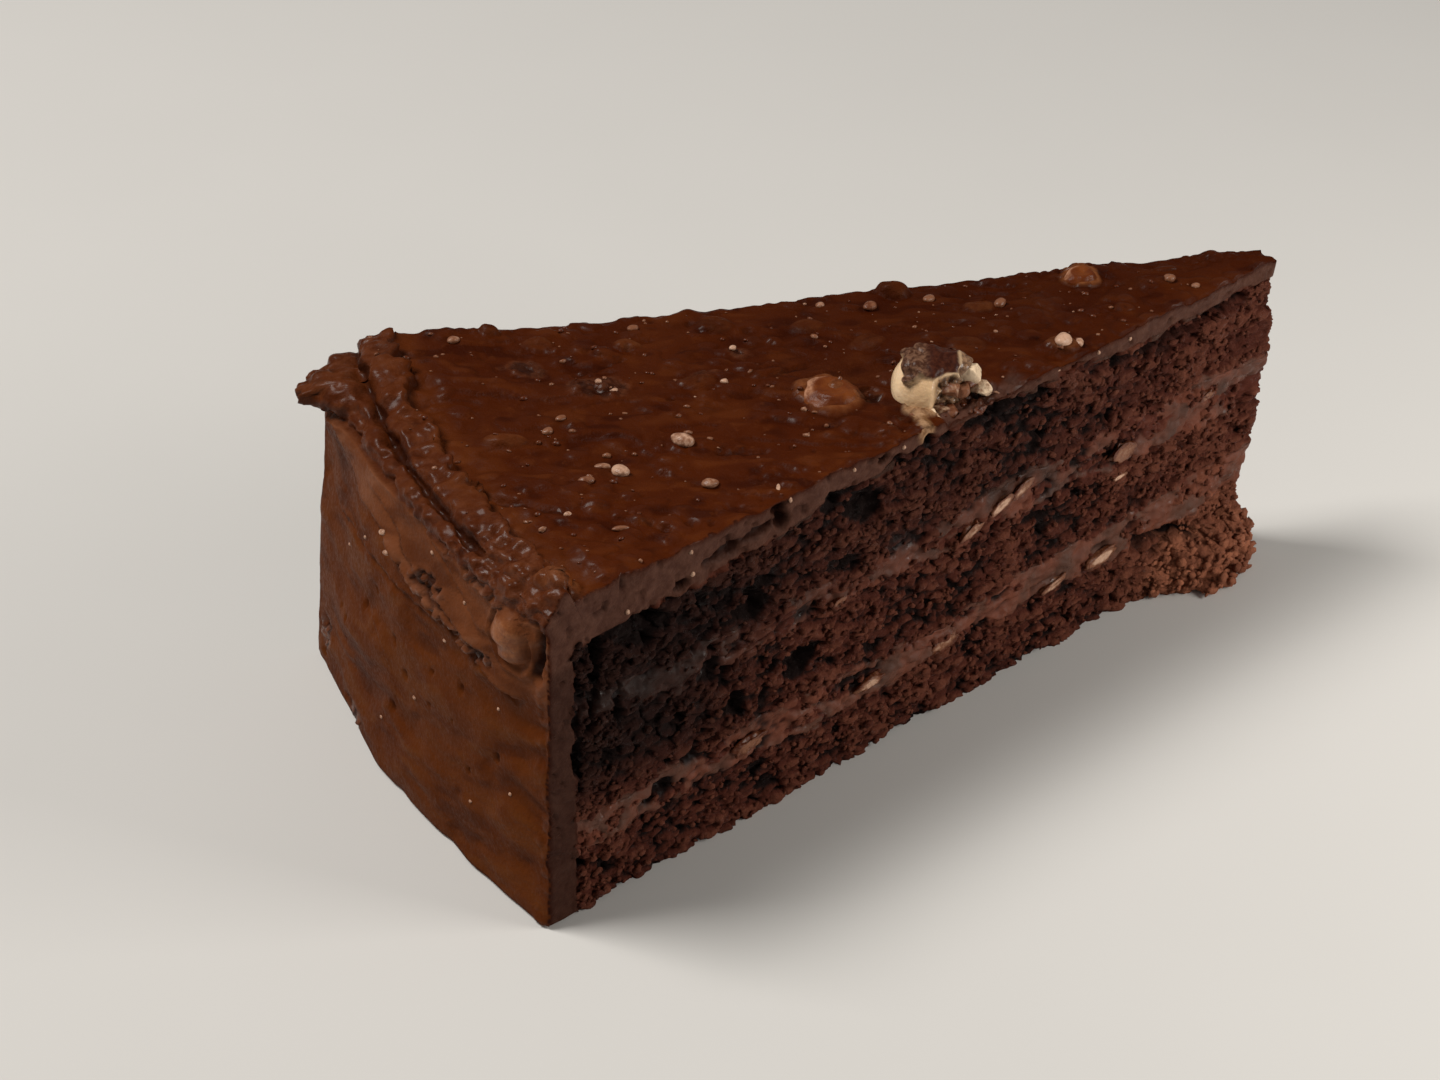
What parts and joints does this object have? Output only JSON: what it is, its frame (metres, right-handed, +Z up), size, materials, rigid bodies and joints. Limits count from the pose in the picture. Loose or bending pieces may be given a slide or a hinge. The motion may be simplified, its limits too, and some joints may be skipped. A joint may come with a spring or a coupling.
{
  "type": "chocolate cake slice",
  "caption": "Wedge-shaped slice of layered chocolate cake: crumbly sponge layers with dark fillings, icing over the top and outer wall, and a hazelnut pressed into the top.",
  "frame": {"origin": "centre of the slice's bounding box, on the flat underside of the bottom sponge", "axes": "+X runs from the outer wall to the tip, +Y to the far cut side, +Z up"},
  "size_m": [0.1618, 0.0768, 0.065],
  "materials": {
    "sponge_bottom": "moist dark chocolate crumb",
    "filling_lower": "smooth dark chocolate cream",
    "sponge_middle": "moist dark chocolate crumb",
    "filling_upper": "smooth dark chocolate cream",
    "sponge_top": "moist dark chocolate crumb",
    "icing": "mildly glossy chocolate icing with bits of nut under it",
    "hazelnut": "smooth cream nut with a patch of dark skin"
  },
  "bodies": {
    "root": {"sponge_bottom": "sponge_bottom", "filling_lower": "filling_lower", "sponge_middle": "sponge_middle", "filling_upper": "filling_upper", "sponge_top": "sponge_top", "icing": "icing", "hazelnut": "hazelnut"}
  },
  "joints": []
}
